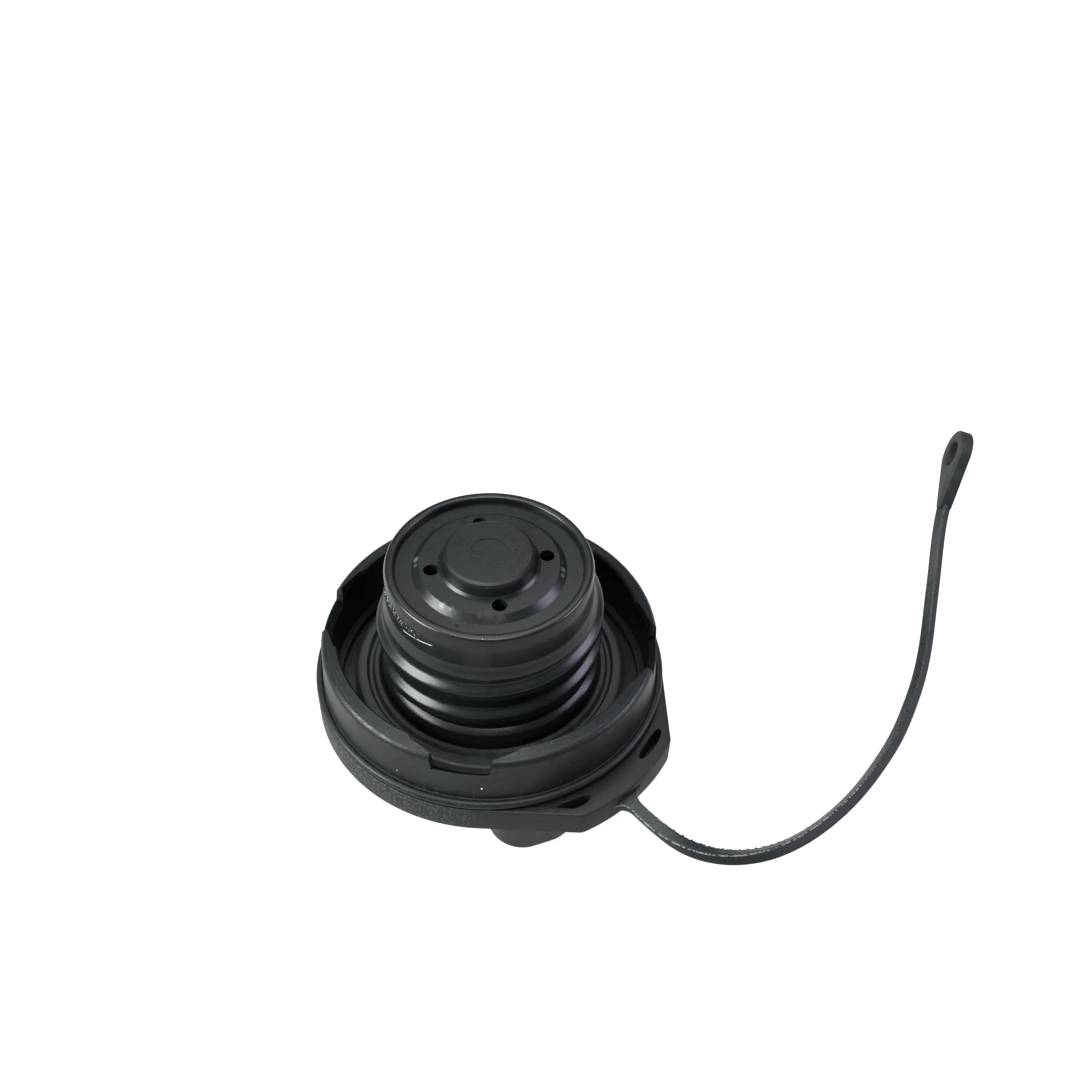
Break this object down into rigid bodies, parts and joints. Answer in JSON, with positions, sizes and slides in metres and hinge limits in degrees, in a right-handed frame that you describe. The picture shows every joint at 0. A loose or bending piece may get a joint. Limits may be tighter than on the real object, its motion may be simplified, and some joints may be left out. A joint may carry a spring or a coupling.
{
  "type": "fuel filler cap",
  "caption": "Screw-in fuel filler cap with a lobed skirt, grip bar, ratcheted threaded plug, gasket, vent valves and a moulded tether strap ending in an eyelet.",
  "frame": {"origin": "on the cap's axis, at the resting face of the grip bar", "axes": "+Z along the cap's axis, out of the plug's nose; the grip bar runs within 6 degrees of Y; the tether strap leaves towards +X and -Y"},
  "size_m": [0.1683, 0.094, 0.0564],
  "materials": {
    "cover_plastic": "fine grained black nylon",
    "skirt_plastic": "matt black nylon, dusty",
    "tether_plastic": "matt black flexible polymer",
    "plug_plastic": "semi-gloss black acetal",
    "acetal": "natural acetal",
    "gasket_rubber": "matt black fluoro rubber",
    "seal_rubber": "smooth black rubber",
    "plated_steel": "zinc plated",
    "spring_steel": "drawn stainless wire"
  },
  "bodies": {
    "handle": {"grip_cover": "cover_plastic", "skirt_ring": "skirt_plastic", "drive_ring": "acetal"},
    "tether_ring": {"tether": "tether_plastic"},
    "plug": {"plug_body": "plug_plastic", "main_gasket": "gasket_rubber", "nose_cap": "plug_plastic", "nose_o_ring": "seal_rubber", "spring_seat": "acetal", "pressure_spring": "spring_steel"},
    "pressure_valve": {"pressure_plate": "acetal", "pressure_seal": "seal_rubber", "seal_retainer": "plated_steel", "vacuum_spring": "spring_steel"},
    "vacuum_valve": {"vacuum_poppet": "acetal", "vacuum_seal": "seal_rubber", "vacuum_clip": "spring_steel"}
  },
  "joints": [
    {"name": "tether_swivel", "type": "hinge", "parent": "handle", "child": "tether_ring", "pos_m": [0, 0, 0.018], "axis": [0, 0, 1], "continuous": true},
    {"name": "ratchet", "type": "hinge", "parent": "handle", "child": "plug", "pos_m": [0, 0, 0.02], "axis": [0, 0, 1], "range_deg": [-360, 0], "deforming": ["drive_ring"]},
    {"name": "pressure_relief", "type": "slide", "parent": "plug", "child": "pressure_valve", "axis": [0, 0, -1], "range_m": [0, 0.0015], "stiffness_N_per_m": 1500, "springref_m": -0.0028, "deforming": ["pressure_spring"]},
    {"name": "vacuum_relief", "type": "slide", "parent": "pressure_valve", "child": "vacuum_valve", "axis": [0, 0, 1], "range_m": [0, 0.0012], "stiffness_N_per_m": 200, "springref_m": -0.0015, "deforming": ["vacuum_spring"]}
  ]
}
